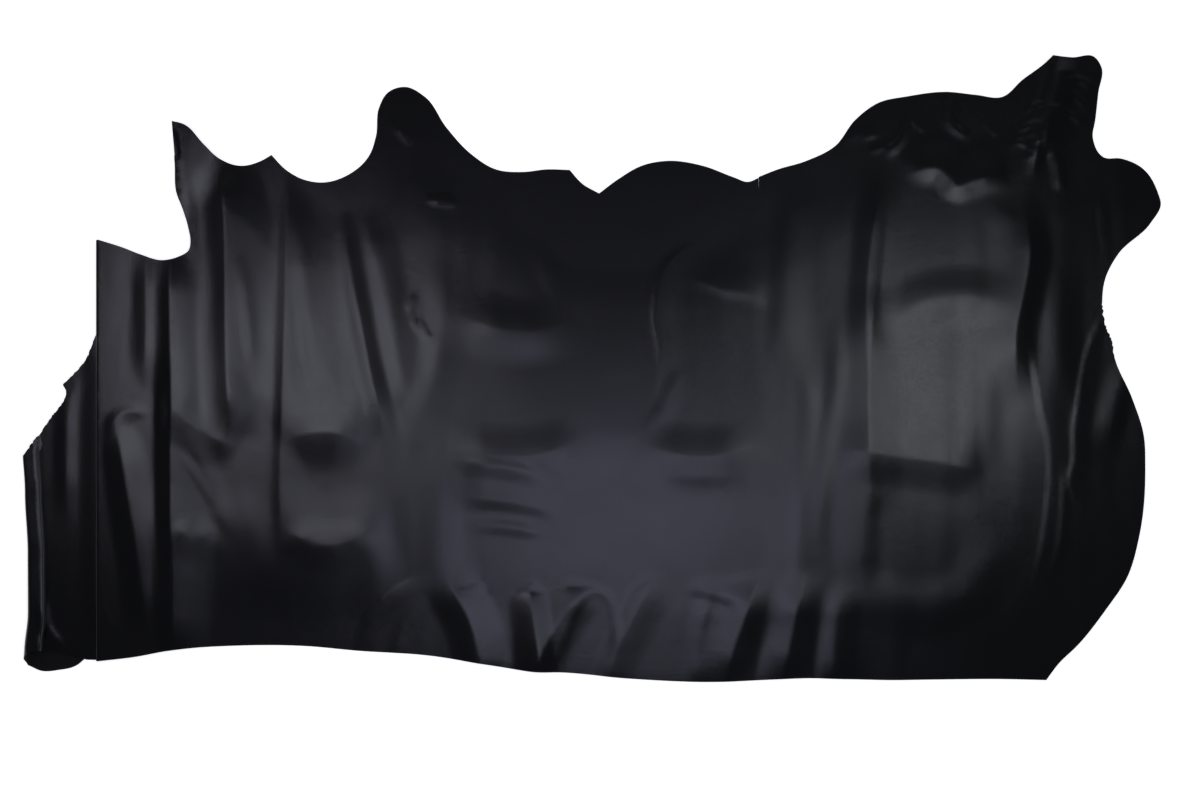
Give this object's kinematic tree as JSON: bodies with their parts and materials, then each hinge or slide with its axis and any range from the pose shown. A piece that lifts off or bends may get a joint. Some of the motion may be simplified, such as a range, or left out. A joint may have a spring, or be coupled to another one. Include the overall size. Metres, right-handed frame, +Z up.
{
  "type": "leather hide",
  "caption": "Side of black leather lying grain side up, with leg shanks, belly and neck round its edge, a long backbone cut, a pleat by the tail end and low folds.",
  "frame": {"origin": "centre of the bounding box, on the surface that the hide lies on", "axes": "+X along the backbone edge from the tail end to the neck, +Y across the hide from the backbone to the belly, +Z up from the surface"},
  "size_m": [2.2744, 1.2525, 0.0233],
  "materials": {
    "leather": "satin grain, dyed and finished near black"
  },
  "bodies": {
    "root": {"hide": "leather"}
  },
  "joints": []
}
